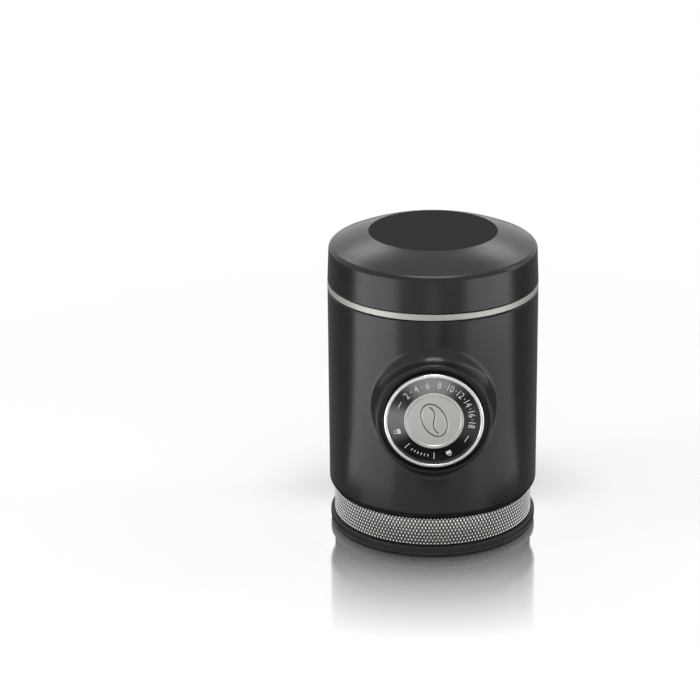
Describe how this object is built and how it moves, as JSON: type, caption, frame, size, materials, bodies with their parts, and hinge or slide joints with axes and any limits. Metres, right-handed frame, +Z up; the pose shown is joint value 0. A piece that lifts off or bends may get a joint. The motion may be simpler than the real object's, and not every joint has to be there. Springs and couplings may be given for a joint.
{
  "type": "handheld manual espresso maker",
  "caption": "Handheld manual espresso maker: an upright round body with a screw lid, a push-and-turn pump button on its side and a knurled screw-in portafilter.",
  "frame": {"origin": "the body's upright axis at the underside of the foot pad", "axes": "+Z up along the body's axis, -Y towards the button's front, +X to the right seen from the button"},
  "size_m": [0.071, 0.0775, 0.1042],
  "materials": {
    "black_casing": "fine satin black",
    "black_inner": "moulded black",
    "tank_plastic": "smooth smoke grey",
    "warm_metal": "satin, warm grey",
    "knurled_metal": "knurled",
    "steel": "turned",
    "chrome": "polished",
    "cap_metal": "bead blasted",
    "dial_black": "gloss with pale marks",
    "silicone": "matt",
    "white_plastic": "low-friction bush"
  },
  "bodies": {
    "main_body": {"group_gasket": "silicone", "shower_screen": "steel", "screen_screw": "steel", "group_head": "black_inner", "group_screws": "steel", "body_shell": "black_casing", "guide_sleeve": "black_inner", "sleeve_screws": "steel", "rod_bush": "white_plastic", "return_spring": "steel", "pump_cylinder": "steel", "cylinder_end_cap": "black_inner", "end_cap_oring": "silicone", "pump_frame": "black_inner", "inlet_oring": "silicone", "inlet_valve_seat": "steel", "inlet_spring": "steel", "outlet_oring": "silicone", "outlet_valve_seat": "steel", "outlet_spring": "steel", "tank": "tank_plastic", "tank_screws": "steel", "strainer": "steel", "ring_gasket": "silicone", "tank_ring": "warm_metal"},
    "inlet_valve": {"inlet_ball": "steel"},
    "outlet_valve": {"outlet_ball": "steel"},
    "lid_carrier": {"lid_seal": "silicone"},
    "lid": {"lid_shell": "black_casing", "lid_liner": "black_inner"},
    "basket_carrier": {"basket": "steel"},
    "portafilter": {"portafilter": "knurled_metal"},
    "foot_cover": {"base_cover": "black_casing", "base_pad": "silicone", "base_oring": "silicone"},
    "piston": {"plunger": "steel", "plunger_orings": "silicone", "plunger_clip": "steel"},
    "dial": {"button_cup": "black_inner", "button_bezel": "chrome", "dial_ring": "dial_black", "button_cap": "cap_metal"}
  },
  "joints": [
    {"name": "piston_slide", "type": "slide", "parent": "main_body", "child": "piston", "axis": [0, -1, 0], "range_m": [0, 0.02], "deforming": ["return_spring"]},
    {"name": "dial_turn", "type": "hinge", "parent": "piston", "child": "dial", "pos_m": [0, 0, 0.05228], "axis": [0, -1, 0], "range_deg": [0, 45]},
    {"name": "lid_rise", "type": "slide", "parent": "main_body", "child": "lid_carrier", "axis": [0, 0, 1], "range_m": [0, 0.018]},
    {"name": "lid_turn", "type": "hinge", "parent": "lid_carrier", "child": "lid", "pos_m": [0, 0, 0.0875], "axis": [0, 0, 1], "range_deg": [0, 540]},
    {"name": "basket_drop", "type": "slide", "parent": "main_body", "child": "basket_carrier", "axis": [0, 0, -1], "range_m": [0, 0.018]},
    {"name": "portafilter_turn", "type": "hinge", "parent": "basket_carrier", "child": "portafilter", "pos_m": [0, 0, 0.014], "axis": [0, 0, -1], "range_deg": [0, 540]},
    {"name": "foot_cover_pull", "type": "slide", "parent": "portafilter", "child": "foot_cover", "axis": [0, 0, -1], "range_m": [0, 0.015]},
    {"name": "inlet_valve_open", "type": "slide", "parent": "main_body", "child": "inlet_valve", "axis": [0, 0, -1], "range_m": [0, 0.001], "stiffness_N_per_m": 200, "springref_m": -0.002, "deforming": ["inlet_spring"]},
    {"name": "outlet_valve_open", "type": "slide", "parent": "main_body", "child": "outlet_valve", "axis": [0, 0, -1], "range_m": [0, 0.001], "stiffness_N_per_m": 200, "springref_m": -0.002, "deforming": ["outlet_spring"]}
  ],
  "couplings": [
    {"joint": "lid_rise", "follows": "lid_turn", "m_per_rad": 0.0019098},
    {"joint": "basket_drop", "follows": "portafilter_turn", "m_per_rad": 0.0019098}
  ]
}
